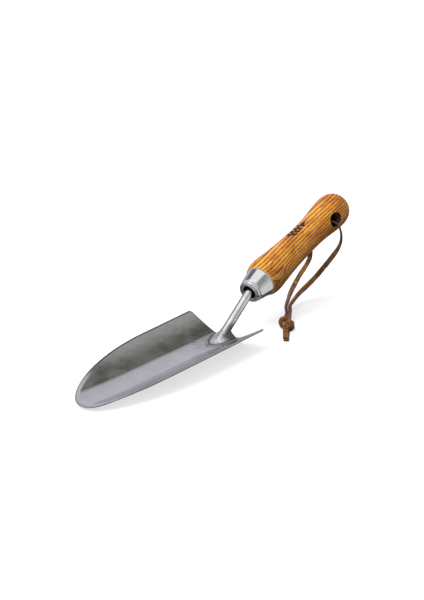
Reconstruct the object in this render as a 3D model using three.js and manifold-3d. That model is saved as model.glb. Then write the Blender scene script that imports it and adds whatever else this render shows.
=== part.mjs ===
// Hand trowel: pressed stainless scoop, forged neck, turned ash handle and a leather hanging lace.
// Millimetres, +Z up. The blade lies on its keel; the handle points to +X and is raised.
// The origin lies on the flat strip under the keel, which is what the trowel rests on.
import * as THREE from 'three';
import { mergeVertices } from 'three/addons/utils/BufferGeometryUtils.js';
import Module from 'manifold-3d';

const GAP = 0.3;

// Blade: one pressed sheet, a trough of constant section trimmed to a rounded nose.
const BLADE_TIP = -86.5;
const BLADE_LENGTH = 174.5;
const BLADE_WIDTH = 81;
const BLADE_NARROWING = 9.6;
const SHEET = 1.8;
const KEEL_FLAT = 4.4;
const WALL_ANGLE = THREE.MathUtils.degToRad(29.1);
const WALL_BEND = 30;
const NOSE_LENGTH = 109;
const NOSE_FULLNESS = 2.14;
const NOSE_LIFT = 2.6;
const NOSE_LIFT_LENGTH = 60;
const CORNER = 3;

// Neck: an 8 mm rod that rises from the rear of the trough and turns into the handle.
const ROD_RADIUS = 4;
const NECK_BACKSET = 7.3;
const NECK_HEIGHT = 4;
const NECK_ANGLE = THREE.MathUtils.degToRad(35.9);
const NECK_RUN = 49.9;
const NECK_BEND = 13;
const ROD_BURIED = 6;
const TANG_LENGTH = 92;
// Foot rings: height above the trough, reach forward of the blade's rear edge, half width.
const FOOT_RINGS = [
  [-3, 26.6, 12.7], [0, 25, 11.8], [0.9, 21.6, 10.9], [1.9, 18.4, 9.9], [3.1, 15.2, 8.6],
  [4.6, 12, 7.1], [6.3, 8.9, 5.8], [8.1, 6.1, 4.7], [9.8, 3.4, 3.7], [11.2, 1.6, 2.6],
];
// Power that draws the foot's plan in from an ellipse towards a fan.
const FOOT_POINT = 1.3;

// Weld bead that joins the foot to the trough.
const BEAD_RADIUS = 0.8;
const BEAD_SPREAD = THREE.MathUtils.degToRad(86);

// Handle, set on the tang at its own pitch.
const HANDLE_ANGLE = THREE.MathUtils.degToRad(18.5);
const FERRULE_LENGTH = 18;
const FERRULE_NOSE = 10.8;
const FERRULE_MOUTH = 14.3;
const FERRULE_WALL = 1.2;
const FERRULE_HOLE = 6.4;
const TENON_END = 3.9;
const WOOD_LENGTH = 143;
// Radius of the turned handle at stations from the seam with the ferrule.
const WOOD_PROFILE = [
  [0, 14.1], [0.5, 15.2], [2, 16.0], [5, 16.9], [9, 17.3], [14, 17.1], [20, 16.6], [28, 15.9], [37, 15.2],
  [47, 14.7], [58, 14.3], [68, 14.1], [78, 14.1], [88, 14.3], [97, 14.8], [105, 15.6], [112, 16.4],
  [119, 17.0], [125, 17.2], [130, 16.9], [134, 16.0], [137.3, 14.4], [139.9, 11.8], [141.7, 8.5],
  [142.7, 4.7],
];
const BOND_START = 6.5;
const BOND_END = 90;
const BOND_WALL = 0.8;

// Hanging hole and its lace.
const HOLE_STATION = 128;
const HOLE_RADIUS = 5.4;
const HOLE_MOUTH = 7.6;
const HOLE_WAIST = 13;
const HOLE_RIM = 16.2;
const HOLE_TILT = THREE.MathUtils.degToRad(10);
const LACE_WIDTH = 4.8;
const LACE_THICKNESS = 1.5;

const STEEL = { color: 0x9c9da0, metalness: 1, roughness: 0.42 };
const POLISHED = { color: 0xc9cacc, metalness: 1, roughness: 0.12 };
const FORGED = { color: 0xb4b5b8, metalness: 1, roughness: 0.28 };
const ASH = { color: 0xc4842f, metalness: 0, roughness: 0.4 };
const RESIN = { color: 0x6b5a3c, metalness: 0, roughness: 0.6 };
const LEATHER = { color: 0x6e4e33, metalness: 0, roughness: 0.75 };

const wasm = await Module();
wasm.setup();

function solid(geometry) {
  const bare = geometry.index ? geometry.toNonIndexed() : geometry.clone();
  bare.deleteAttribute('normal');
  bare.deleteAttribute('uv');
  const welded = mergeVertices(bare, 1e-4);
  return new wasm.Manifold(new wasm.Mesh({
    numProp: 3,
    vertProperties: new Float32Array(welded.attributes.position.array),
    triVerts: new Uint32Array(welded.index.array),
  }));
}

function geometryOf(manifold) {
  const mesh = manifold.getMesh();
  const geometry = new THREE.BufferGeometry();
  geometry.setAttribute('position', new THREE.Float32BufferAttribute(mesh.vertProperties, 3));
  geometry.setIndex(new THREE.Uint32BufferAttribute(mesh.triVerts, 1));
  geometry.computeVertexNormals();
  return geometry;
}

function piece(name, geometry, look) {
  const mesh = new THREE.Mesh(geometry, new THREE.MeshStandardMaterial(look));
  mesh.name = name;
  return mesh;
}

function outline(points) {
  return new THREE.Shape(points.map(([x, y]) => new THREE.Vector2(x, y)));
}

function lathe(profile, segments) {
  return new THREE.LatheGeometry(profile.map(([r, s]) => new THREE.Vector2(r, s)), segments);
}

// Frames and stations shared by the pieces.
const rear = BLADE_TIP + BLADE_LENGTH;
const neckStart = new THREE.Vector3(rear - NECK_BACKSET, 0, NECK_HEIGHT);
const neckAxis = new THREE.Vector3(Math.cos(NECK_ANGLE), 0, Math.sin(NECK_ANGLE));
const handleAxis = new THREE.Vector3(Math.cos(HANDLE_ANGLE), 0, Math.sin(HANDLE_ANGLE));
const handleUp = new THREE.Vector3(-Math.sin(HANDLE_ANGLE), 0, Math.cos(HANDLE_ANGLE));
const nose = neckStart.clone().addScaledVector(neckAxis, NECK_RUN);
// The hanging hole leans, so its near mouth (-Y) is a little higher than its far one.
const holeAxis = new THREE.Vector3(0, -Math.cos(HOLE_TILT), 0)
  .addScaledVector(handleUp, Math.sin(HOLE_TILT));

function station(s) {
  return nose.clone().addScaledVector(handleAxis, s);
}

// Places a lathe whose axis is Y along the handle, with its zero at the ferrule's end face.
const alongHandle = new THREE.Matrix4()
  .makeBasis(new THREE.Vector3(0, -1, 0), handleAxis, handleUp)
  .setPosition(nose);

// Lower face of the sheet at a distance y from the middle: flat keel, round bend, straight wall.
function keel(y) {
  const out = Math.max(0, Math.abs(y) - KEEL_FLAT / 2);
  const bend = WALL_BEND * Math.sin(WALL_ANGLE);
  const arc = Math.min(out, bend);
  return WALL_BEND - Math.sqrt(WALL_BEND ** 2 - arc ** 2) + (out - arc) * Math.tan(WALL_ANGLE);
}

function keelSlope(y) {
  const out = Math.max(0, Math.abs(y) - KEEL_FLAT / 2);
  const lean = Math.asin(Math.min(out / WALL_BEND, Math.sin(WALL_ANGLE)));
  return Math.sign(y) * Math.tan(lean);
}

// Section of the sheet between two offsets from its lower face, wider than the blade on both sides.
function troughBand(low, high) {
  const spacing = 2.1;
  const reach = Math.ceil(BLADE_WIDTH / 2 / spacing) + 2;
  const stations = [0];
  for (let i = 0; i < reach; i += 1) {
    const y = KEEL_FLAT / 2 + i * spacing;
    stations.unshift(-y);
    stations.push(y);
  }
  const face = (offset) => stations.map((y) => {
    const slope = keelSlope(y);
    const length = Math.hypot(1, slope);
    return [y - offset * slope / length, keel(y) + offset / length];
  });
  return outline([...face(low), ...face(high).reverse()]);
}

function trough(low, high, from, to, steps = 1) {
  const geometry = new THREE.ExtrudeGeometry(troughBand(low, high), {
    depth: to - from,
    steps,
    bevelEnabled: false,
  });
  // Section drawn in Y and Z, extruded along X.
  geometry.applyMatrix4(new THREE.Matrix4().makeBasis(
    new THREE.Vector3(0, 1, 0),
    new THREE.Vector3(0, 0, 1),
    new THREE.Vector3(1, 0, 0),
  ));
  geometry.translate(from, 0, 0);
  return geometry;
}

// Plan of the blade: half ellipse at the nose, nearly parallel sides, square rear with soft corners.
function bladePlan() {
  const half = [];
  const steps = 30;
  for (let i = 1; i <= steps; i += 1) {
    const angle = (i / steps) * Math.PI / 2;
    const u = NOSE_LENGTH * (1 - Math.cos(angle) ** (2 / NOSE_FULLNESS));
    const width = BLADE_WIDTH / 2 - BLADE_NARROWING / 2 * (1 - u / BLADE_LENGTH);
    half.push([BLADE_TIP + u, Math.sin(angle) ** (2 / NOSE_FULLNESS) * width]);
  }
  const side = BLADE_WIDTH / 2;
  for (let i = 0; i <= 4; i += 1) {
    const angle = (i / 4) * Math.PI / 2;
    half.push([rear - CORNER + CORNER * Math.sin(angle), side - CORNER + CORNER * Math.cos(angle)]);
  }
  const other = half.map(([x, y]) => [x, -y]);
  return outline([[BLADE_TIP, 0], ...other, ...half.reverse()]);
}

function makeBlade() {
  const spare = 5;
  const sheet = solid(trough(0, SHEET, BLADE_TIP - spare, rear + spare, 30));
  const depth = BLADE_WIDTH;
  const trim = new THREE.ExtrudeGeometry(bladePlan(), { depth, bevelEnabled: false });
  trim.translate(0, 0, -depth / 2);
  const geometry = geometryOf(sheet.intersect(solid(trim)));
  // The last part of the nose curls up a little, so the keel rests flat behind it.
  const position = geometry.attributes.position;
  for (let i = 0; i < position.count; i += 1) {
    const near = Math.max(0, 1 - (position.getX(i) - BLADE_TIP) / NOSE_LIFT_LENGTH);
    position.setZ(i, position.getZ(i) + NOSE_LIFT * near * near);
  }
  geometry.computeVertexNormals();
  return piece('blade', geometry, STEEL);
}

// Rod path: straight up from the foot, a forged bend at the ferrule, then along the handle axis.
function neckPath() {
  const bendStart = nose.clone().addScaledVector(neckAxis, -NECK_BEND * 0.25);
  const corner = nose.clone().addScaledVector(neckAxis, NECK_BEND * 0.05);
  const bendEnd = station(NECK_BEND * 0.35);
  const path = new THREE.CurvePath();
  path.add(new THREE.LineCurve3(neckStart.clone().addScaledVector(neckAxis, -ROD_BURIED), bendStart));
  path.add(new THREE.QuadraticBezierCurve3(bendStart, corner, bendEnd));
  path.add(new THREE.LineCurve3(bendEnd, station(TANG_LENGTH)));
  const points = [];
  const stepsOf = [4, 6, 8];
  path.curves.forEach((curve, index) => {
    const steps = stepsOf[index];
    for (let i = index ? 1 : 0; i <= steps; i += 1) {
      points.push(curve.getPoint(i / steps));
    }
  });
  return points;
}

function sweep(points, section, steps) {
  const curve = new THREE.CatmullRomCurve3(points, false, 'centripetal');
  return new THREE.ExtrudeGeometry(section, { steps, extrudePath: curve, bevelEnabled: false });
}

function ellipse(width, height, sides) {
  const points = [];
  for (let i = 0; i < sides; i += 1) {
    const angle = (i / sides) * Math.PI * 2;
    points.push([Math.cos(angle) * width / 2, Math.sin(angle) * height / 2]);
  }
  return outline(points);
}

function fanned(share) {
  return Math.sign(share) * Math.abs(share) ** FOOT_POINT;
}

// Fanned foot: half a bell whose rear is flush with the blade and whose edge follows the trough.
function footBell() {
  const top = FOOT_RINGS[FOOT_RINGS.length - 1][0];
  const profile = [[0, FOOT_RINGS[0][0]], ...FOOT_RINGS.map(([h, , w]) => [w, h]), [0, top]];
  const geometry = lathe(profile, 40);
  geometry.rotateX(Math.PI / 2);
  const position = geometry.attributes.position;
  for (let i = 0; i < position.count; i += 1) {
    const h = position.getZ(i);
    const [, reach, halfWidth] = FOOT_RINGS.find(([height]) => Math.abs(height - h) < 1e-3);
    const x = fanned(position.getX(i) / halfWidth) * reach;
    const y = fanned(position.getY(i) / halfWidth) * halfWidth;
    position.setXYZ(i, rear + x, y, h + SHEET + keel(y) * (1 - Math.max(0, h) / top));
  }
  return geometry;
}

function makeNeck() {
  const rod = solid(sweep(neckPath(), ellipse(ROD_RADIUS * 2, ROD_RADIUS * 2, 24), 60));
  const behind = new THREE.BoxGeometry(BLADE_WIDTH, BLADE_WIDTH, BLADE_WIDTH);
  behind.translate(rear + BLADE_WIDTH / 2, 0, 0);
  const foot = solid(footBell()).subtract(solid(behind));
  const below = solid(trough(-BLADE_WIDTH / 2, SHEET + GAP, 0, rear + GAP));
  return piece('neck', geometryOf(rod.add(foot).subtract(below)), FORGED);
}

// Bead that follows the foot's edge round the front, from one rear corner of the foot to the other.
function makeWeld() {
  const points = [];
  const steps = 16;
  const [, footReach, footHalfWidth] = FOOT_RINGS[1];
  const clear = BEAD_RADIUS + GAP + 0.5;
  for (let i = 0; i <= steps; i += 1) {
    const angle = THREE.MathUtils.lerp(-BEAD_SPREAD, BEAD_SPREAD, i / steps);
    const y = fanned(Math.sin(angle)) * (footHalfWidth + clear);
    const x = rear - fanned(Math.cos(angle)) * (footReach + clear);
    const lift = (SHEET + GAP + BEAD_RADIUS + 0.05) * Math.hypot(1, keelSlope(y));
    points.push(new THREE.Vector3(x, y, keel(y) + lift));
  }
  const section = ellipse(BEAD_RADIUS * 2, BEAD_RADIUS * 2, 8);
  return piece('foot_weld', sweep(points, section, 2 * steps), FORGED);
}

function makeFerrule() {
  const w = FERRULE_WALL;
  const profile = [
    [FERRULE_HOLE, 0.6], [FERRULE_HOLE + 0.5, 0], [FERRULE_NOSE - 2.6, 0], [FERRULE_NOSE - 1.1, 0.5],
    [FERRULE_NOSE - 0.2, 1.7], [FERRULE_NOSE + 0.3, 3.4], [FERRULE_MOUTH - 0.3, FERRULE_LENGTH - 2],
    [FERRULE_MOUTH, FERRULE_LENGTH - 0.6], [FERRULE_MOUTH - 0.2, FERRULE_LENGTH],
    [FERRULE_MOUTH - w, FERRULE_LENGTH], [FERRULE_NOSE + 0.3 - w, 3.6], [FERRULE_NOSE - 1.6, 1.9],
    [FERRULE_HOLE + 0.3, 1.6], [FERRULE_HOLE, 1.2], [FERRULE_HOLE, 0.6],
  ];
  const geometry = lathe(profile, 48);
  geometry.applyMatrix4(alongHandle);
  return piece('ferrule', geometry, POLISHED);
}

// The wood's tenon fills the ferrule; its bore takes the tang in its sleeve of resin.
function makeHandle() {
  const seam = FERRULE_LENGTH + GAP;
  const bore = ROD_RADIUS + BOND_WALL + 2 * GAP;
  const tenon = (s) => THREE.MathUtils.mapLinear(
    s, 3.6, FERRULE_LENGTH, FERRULE_NOSE + 0.3 - FERRULE_WALL, FERRULE_MOUTH - FERRULE_WALL,
  ) - GAP - 0.05;
  const profile = [
    [0, TANG_LENGTH + GAP + 1],
    [bore, TANG_LENGTH + GAP],
    [bore, TENON_END],
    [tenon(TENON_END) - 0.6, TENON_END],
    [tenon(TENON_END + 1), TENON_END + 1],
    [tenon(FERRULE_LENGTH), FERRULE_LENGTH],
    [tenon(FERRULE_LENGTH), seam],
    ...WOOD_PROFILE.map(([s, r]) => [r, seam + s]),
    [0, seam + WOOD_LENGTH],
  ];
  const body = lathe(profile, 48);
  body.applyMatrix4(alongHandle);
  // The drill has countersunk mouths, carried on outwards at the same slope.
  const outside = 30;
  const slope = (HOLE_MOUTH - HOLE_RADIUS) / (HOLE_RIM - HOLE_WAIST);
  const flare = HOLE_MOUTH + (outside - HOLE_RIM) * slope;
  const half = [[0, outside], [flare, outside], [HOLE_MOUTH, HOLE_RIM], [HOLE_RADIUS, HOLE_WAIST]];
  const drill = lathe([...half.map(([r, s]) => [r, -s]), ...half.reverse()], 28);
  drill.applyMatrix4(new THREE.Matrix4()
    .makeBasis(handleAxis, holeAxis, handleAxis.clone().cross(holeAxis))
    .setPosition(station(HOLE_STATION)));
  return piece('handle', geometryOf(solid(body).subtract(solid(drill))), ASH);
}

// Hardened resin between the tang and the bore, open at both ends.
function makeBond() {
  const inner = ROD_RADIUS + GAP;
  const outer = inner + BOND_WALL;
  const profile = [
    [outer, BOND_START], [outer, BOND_END], [inner, BOND_END], [inner, BOND_START], [outer, BOND_START],
  ];
  const geometry = lathe(profile, 24);
  geometry.applyMatrix4(alongHandle);
  return piece('tang_bond', geometry, RESIN);
}

// A point of the lace's way out of the hole: sideways to the near side, then x and z from its middle.
function fromHole(sideways, x, z) {
  return station(HOLE_STATION).add(new THREE.Vector3(x, -sideways, z));
}

// The overhand knot lies on the ground in front of the butt, both strands running into it side by side.
const KNOT = new THREE.Vector3(136.3, -30, 0);
const LACE_HEADING = new THREE.Vector3(-0.85, -0.527, 0).normalize();
const LACE_SIDE = new THREE.Vector3(0.527, -0.85, 0).normalize();
const KNOT_HALF_HEIGHT = 5.4;

function knotSolid(grow) {
  const core = new THREE.SphereGeometry(1, 20, 14);
  core.scale(5.6 + grow, 5.2 + grow, 4.4 + grow);
  const wraps = [
    { tilt: 0.45, turn: 0.1, ring: 4.1, along: -1.6 },
    { tilt: -0.35, turn: -0.5, ring: 4.4, along: 1.8 },
    { tilt: 1.25, turn: 0.4, ring: 4.2, along: 0.2 },
  ];
  let body = solid(core);
  for (const { tilt, turn, ring, along } of wraps) {
    const wrap = new THREE.TorusGeometry(ring, 1.9 + grow, 10, 24);
    wrap.rotateY(Math.PI / 2 + tilt);
    wrap.rotateZ(turn);
    wrap.scale(1, 1.1, 0.86);
    wrap.translate(along, 0, 0);
    body = body.add(solid(wrap));
  }
  const geometry = geometryOf(body);
  geometry.applyMatrix4(new THREE.Matrix4()
    .makeBasis(LACE_HEADING, LACE_SIDE, new THREE.Vector3(0, 0, 1))
    .setPosition(KNOT.x, KNOT.y, KNOT_HALF_HEIGHT));
  return geometry;
}

function lace(name, points, section, steps) {
  const strand = solid(sweep(points, section, steps));
  return piece(name, geometryOf(strand.subtract(solid(knotSolid(GAP)))), LEATHER);
}

function beside(along, side, height) {
  return KNOT.clone()
    .addScaledVector(LACE_HEADING, along)
    .addScaledVector(LACE_SIDE, side)
    .setZ(height);
}

const at = (x, y, z) => new THREE.Vector3(x, y, z);
const NEAR_STRAND = [
  fromHole(0.2, 0, 0), fromHole(6, 0, 0), fromHole(12, 0, 0), fromHole(16, 0.1, -1.1),
  fromHole(18.9, 0.5, -4), fromHole(20, 1.2, -8), at(244.8, -20.2, 61.5), at(244.8, -19.9, 55.2),
  at(242.4, -18.4, 48.7), at(237.7, -13.8, 39.4), at(231.8, -8.6, 30), at(225.2, -4, 21.6), at(216, -0.3, 14.6),
  at(206, 1.5, 9.8), at(195, 0.8, 6), at(183, -2.9, 4.4), beside(-40, 1.6, 4.3), beside(-25, 1.5, 4.9),
  beside(-12, 1.5, 5.8), beside(-5, 1.5, 6.4),
];
const FAR_STRAND = [
  fromHole(-0.2, 0, 0), fromHole(-6, 0, 0), fromHole(-12, 0, -0.1), fromHole(-16, 0.2, -1.4),
  fromHole(-19, 0.9, -4.8), fromHole(-20.3, 2.1, -9.5), at(247.6, 20.6, 56), at(251, 20.6, 46),
  at(254.9, 21.4, 35.5), at(257.6, 24, 27.6), at(255, 26.8, 20), at(244, 26.2, 14), at(228.4, 21.7, 9.8),
  at(212.5, 16, 6.6), at(197, 9, 4.2), at(183.6, 2.2, 2.6), beside(-40, -1.6, 2.3), beside(-25, -1.5, 2.2),
  beside(-12, -1.5, 2.8), beside(-5, -1.6, 4),
];
const NEAR_TAIL = [
  beside(4, 0.9, 2.6), beside(9, 0.8, 1.2), beside(17, 0.8, 0.85), beside(29, 0.9, 0.85),
];
const FAR_TAIL = [
  beside(4, -0.9, 4.6), beside(9, -0.5, 3.2), beside(17, -0.2, 2.75), beside(28, 0.4, 2.75),
];

// A strand leaves the hole flat, so its width runs along the handle; the tails lie flat on the ground.
const strandSection = ellipse(LACE_WIDTH, LACE_THICKNESS, 8);
const tailSection = ellipse(LACE_THICKNESS, LACE_WIDTH, 8);

const trowel = new THREE.Group();
trowel.name = 'hand_trowel';
trowel.add(
  makeBlade(),
  makeNeck(),
  makeWeld(),
  makeFerrule(),
  makeHandle(),
  makeBond(),
  lace('lace_near_strand', NEAR_STRAND, strandSection, 56),
  lace('lace_far_strand', FAR_STRAND, strandSection, 60),
  piece('lace_knot', knotSolid(0), LEATHER),
  lace('lace_near_tail', NEAR_TAIL, tailSection, 12),
  lace('lace_far_tail', FAR_TAIL, tailSection, 12),
);

export default trowel;
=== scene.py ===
import math

import bmesh
import bpy
import numpy as np
from mathutils import Matrix, Vector


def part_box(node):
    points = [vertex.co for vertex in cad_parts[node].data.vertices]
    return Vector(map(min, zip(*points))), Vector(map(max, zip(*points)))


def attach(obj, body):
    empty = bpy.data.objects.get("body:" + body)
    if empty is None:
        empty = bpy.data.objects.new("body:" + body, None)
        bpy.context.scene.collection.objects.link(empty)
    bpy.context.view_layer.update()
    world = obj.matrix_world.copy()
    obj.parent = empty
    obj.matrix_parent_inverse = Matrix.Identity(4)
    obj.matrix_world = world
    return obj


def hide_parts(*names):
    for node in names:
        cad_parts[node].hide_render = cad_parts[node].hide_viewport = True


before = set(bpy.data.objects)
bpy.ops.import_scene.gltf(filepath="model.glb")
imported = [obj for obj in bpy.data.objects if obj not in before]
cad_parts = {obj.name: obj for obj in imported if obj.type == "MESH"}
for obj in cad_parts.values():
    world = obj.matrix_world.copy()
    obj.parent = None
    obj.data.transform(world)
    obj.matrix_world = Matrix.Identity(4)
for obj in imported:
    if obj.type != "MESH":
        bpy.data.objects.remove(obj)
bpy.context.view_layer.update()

MM = 0.001

# Camera: it stands at the near side of the nose and looks down at the trowel.
CAMERA_PLACE = (-0.50167, -0.46014, 0.29099)
CAMERA_TURN = (71.183, 1.469, -51.61)
CAMERA_LENS = 55.135

# Driving sizes of the CAD model in millimetres; NARROWING is each side's, from rear to tip.
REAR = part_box("blade")[1].x / MM
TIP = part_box("blade")[0].x / MM
HALF_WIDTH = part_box("blade")[1].y / MM
NARROWING = 4.8
SHEET = 1.8
KEEL_FLAT = 2.2
WALL_BEND = 30.0
WALL_ANGLE = math.radians(29.1)
WALL_BOW = 0.42
NOSE_LENGTH = 109.0
NOSE_FULLNESS = 2.14
NOSE_LIFT = 2.6
NOSE_LIFT_LENGTH = 60.0
CORNER = 3.0
ROD_RADIUS = 4.0
NECK_ANGLE = math.radians(35.9)
NECK_RUN = 49.9
NECK_BEND = 13.0
HANDLE_ANGLE = math.radians(18.5)
FERRULE_LENGTH = 18.0
WOOD_LENGTH = 143.0
HOLE_STATION = 128.0
HOLE_RADIUS = 5.4
HOLE_MOUTH = 7.6
HOLE_TILT = math.radians(10)
LACE_WIDTH = 4.8
LACE_THICKNESS = 1.5
LACE_CORNER = 0.28

X, Y, Z = np.eye(3)
neck_start = np.array([REAR - 7.3, 0, 4.0])
neck_axis = math.cos(NECK_ANGLE) * X + math.sin(NECK_ANGLE) * Z
handle_axis = math.cos(HANDLE_ANGLE) * X + math.sin(HANDLE_ANGLE) * Z
handle_start = neck_start + NECK_RUN * neck_axis


def station(s):
    """The point on the handle's axis at s millimetres from the ferrule's end face."""
    return handle_start + s * handle_axis


def unit(v):
    return v / np.linalg.norm(v, axis=-1, keepdims=True)


def smoothstep(low, high, value):
    t = np.clip((np.asarray(value, float) - low) / (high - low), 0, 1)
    return t * t * (3 - 2 * t)


# ---- mesh helpers


def make_piece(name, points, faces, finish, body, replaces=(), place=None, sharp=35):
    """A mesh from points in millimetres, moved by place if given, riding on a CAD body."""
    mesh = bpy.data.meshes.new(name)
    mesh.from_pydata((np.asarray(points) * MM).tolist(), [], faces)
    mesh.validate()
    if place is not None:
        mesh.transform(place)
    mesh.materials.append(finish)
    piece = bpy.data.objects.new(name, mesh)
    bpy.context.scene.collection.objects.link(piece)
    finish_mesh(mesh, sharp)
    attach(piece, body)
    if replaces:
        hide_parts(*replaces)
    return piece


def finish_mesh(mesh, sharp):
    mesh.shade_smooth()
    mesh.set_sharp_from_angle(angle=math.radians(sharp))
    mesh.update()


def grid_faces(rows, columns, wrap_rows=False, wrap_columns=False):
    """Quads of a grid whose vertex (r, c) is r * columns + c."""
    faces = []
    for r in range(rows if wrap_rows else rows - 1):
        for c in range(columns if wrap_columns else columns - 1):
            r2, c2 = (r + 1) % rows, (c + 1) % columns
            faces.append((r * columns + c, r * columns + c2, r2 * columns + c2, r2 * columns + c))
    return faces


def end_caps(rows, columns):
    """The two faces that close a tube whose rings are a grid's rows."""
    last = (rows - 1) * columns
    return [tuple(reversed(range(columns))), tuple(last + k for k in range(columns))]


def flipped(faces, offset):
    """The same faces turned over, for points that come offset places later."""
    return [tuple(reversed([offset + k for k in f])) for f in faces]


def joined(shapes):
    """Several meshes, each of points and faces, as one."""
    points, faces = [], []
    for shape_points, shape_faces in shapes:
        offset = sum(len(p) for p in points)
        points.append(shape_points)
        faces += [tuple(offset + k for k in f) for f in shape_faces]
    return np.vstack(points), faces


def lathe(profile, segments):
    """A solid turned round its own X axis, from (radius, station) points, closed or ending on the axis."""
    profile = np.asarray(profile, float)
    closed = np.allclose(profile[0], profile[-1])
    ring = profile[:-1] if closed else profile
    angle = np.linspace(0, 2 * math.pi, segments, endpoint=False)
    points = np.stack([
        np.repeat(ring[:, 1][:, None], segments, 1),
        ring[:, 0][:, None] * np.cos(angle),
        ring[:, 0][:, None] * np.sin(angle),
    ], -1).reshape(-1, 3)
    return points, grid_faces(len(ring), segments, wrap_rows=closed, wrap_columns=True)


def weld(piece, distance=1e-7):
    """Merges points that lie together, such as those that a lathe's ends leave on the axis."""
    work = bmesh.new()
    work.from_mesh(piece.data)
    bmesh.ops.remove_doubles(work, verts=work.verts, dist=distance)
    bmesh.ops.recalc_face_normals(work, faces=work.faces)
    work.to_mesh(piece.data)
    work.free()


def between(a, b, start, end, t):
    """The point at t on the straight run that is at a at start and at b at end."""
    return (end - t) / (end - start) * a + (t - start) / (end - start) * b


def catmull_rom(points, per_span=14):
    """Centripetal Catmull-Rom curve through the points, ends extended in line."""
    points = np.asarray(points, float)
    ends = np.vstack([2 * points[0] - points[1], points, 2 * points[-1] - points[-2]])
    curve = []
    for i in range(1, len(ends) - 2):
        p0, p1, p2, p3 = ends[i - 1:i + 3]
        t0 = 0.0
        t1 = t0 + math.sqrt(np.linalg.norm(p1 - p0))
        t2 = t1 + math.sqrt(np.linalg.norm(p2 - p1))
        t3 = t2 + math.sqrt(np.linalg.norm(p3 - p2))
        for k in range(per_span):
            t = t1 + (t2 - t1) * k / per_span
            a = between(p0, p1, t0, t1, t)
            b = between(p1, p2, t1, t2, t)
            c = between(p2, p3, t2, t3, t)
            curve.append(between(between(a, b, t0, t2, t), between(b, c, t1, t3, t), t1, t2, t))
    curve.append(points[-1])
    return np.array(curve)


def length_of(path):
    return float(np.linalg.norm(np.diff(path, axis=0), axis=1).sum())


def run_along(path):
    """Each point's distance from the start, measured along the path."""
    return np.concatenate([[0], np.cumsum(np.linalg.norm(np.diff(path, axis=0), axis=1))])


def spaced(path, step):
    """The path at even steps."""
    along = run_along(path)
    count = max(3, round(along[-1] / step) + 1)
    at = np.linspace(0, along[-1], count)
    return np.stack([np.interp(at, along, path[:, k]) for k in range(3)], 1)


def tangents(path):
    return unit(np.gradient(path, axis=0))


# ---- node helpers


class Graph:
    """A small writer of node trees: each call adds one node, links its inputs and gives back an output."""

    def __init__(self, tree):
        self.tree = tree
        self.tree.nodes.clear()

    def add(self, kind, inputs=None, out=0, **settings):
        node = self.tree.nodes.new(kind)
        for key, value in settings.items():
            setattr(node, key, value)
        for key, value in (inputs or {}).items():
            if isinstance(value, bpy.types.NodeSocket):
                self.tree.links.new(value, node.inputs[key])
            else:
                node.inputs[key].default_value = value
        return node.outputs[out] if node.outputs else None

    def math(self, operation, a, b=0.0):
        return self.add("ShaderNodeMath", {0: a, 1: b}, operation=operation)

    def plus(self, a, b):
        return self.math("ADD", a, b)

    def times(self, first, *others):
        for other in others:
            first = self.math("MULTIPLY", first, other)
        return first

    def hypotenuse(self, a, b):
        return self.math("SQRT", self.plus(self.times(a, a), self.times(b, b)))

    def axes(self, vector):
        """The x, y and z of a vector."""
        return self.add("ShaderNodeSeparateXYZ", {0: vector}).node.outputs[:]

    def attribute(self, name):
        """The value that set_attribute wrote on the piece."""
        return self.add("ShaderNodeAttribute", out=2, attribute_name=name)

    def ramp(self, value, low, high, out_low=0.0, out_high=1.0, smooth=True):
        return self.add("ShaderNodeMapRange", {
            "Value": value, "From Min": low, "From Max": high, "To Min": out_low, "To Max": out_high,
        }, interpolation_type="SMOOTHSTEP" if smooth else "LINEAR")

    def mix(self, factor, a, b):
        return self.add("ShaderNodeMix", {0: factor, 6: a, 7: b}, out=2, data_type="RGBA")

    def noise(self, vector, scale, detail=3.0, roughness=0.5, distortion=0.0):
        return self.add("ShaderNodeTexNoise", {
            "Vector": vector, "Scale": scale, "Detail": detail,
            "Roughness": roughness, "Distortion": distortion,
        })

    def stretched(self, vector, scale, place=(0, 0, 0)):
        return self.add("ShaderNodeMapping", {"Vector": vector, "Scale": scale, "Location": place})

    def bump(self, height, strength, distance):
        return self.add("ShaderNodeBump", {"Height": height, "Strength": strength, "Distance": distance})

    def surface(self, shade, roughness, normal, extra):
        return self.add("ShaderNodeBsdfPrincipled", {
            "Base Color": shade, "Roughness": roughness, "Normal": normal, **extra,
        })


def colour(red, green, blue):
    """An sRGB colour of 0 to 255 as the linear RGBA that the nodes take."""
    def linear(c):
        c /= 255
        return c / 12.92 if c <= 0.04045 else ((c + 0.055) / 1.055) ** 2.4
    return (linear(red), linear(green), linear(blue), 1)


def material(name, build):
    """A material whose surface comes from build(graph, position), with the position in metres."""
    made = bpy.data.materials.new(name)
    made.use_nodes = True
    graph = Graph(made.node_tree)
    position = graph.add("ShaderNodeTexCoord", out=3)
    surface = build(graph, position)
    graph.add("ShaderNodeOutputMaterial", {"Surface": surface})
    return made


# ---- materials

# The turned pieces are drawn along their own X axis, which this puts on the handle's axis.
HANDLE_PLACE = Matrix.Translation(Vector(handle_start * MM)) @ Matrix.Rotation(-HANDLE_ANGLE, 4, "Y")


def handle_frame(graph, position):
    """The position measured in the handle's own frame: x along its axis, z up."""
    return graph.add("ShaderNodeMapping", {
        "Vector": position, "Rotation": (0, HANDLE_ANGLE, 0),
        "Location": HANDLE_PLACE.inverted().to_translation(),
    })


METAL = {"Metallic": 1.0}


def dimmed(tone, share):
    return tuple(c * share for c in tone[:3]) + (1,)


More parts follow.
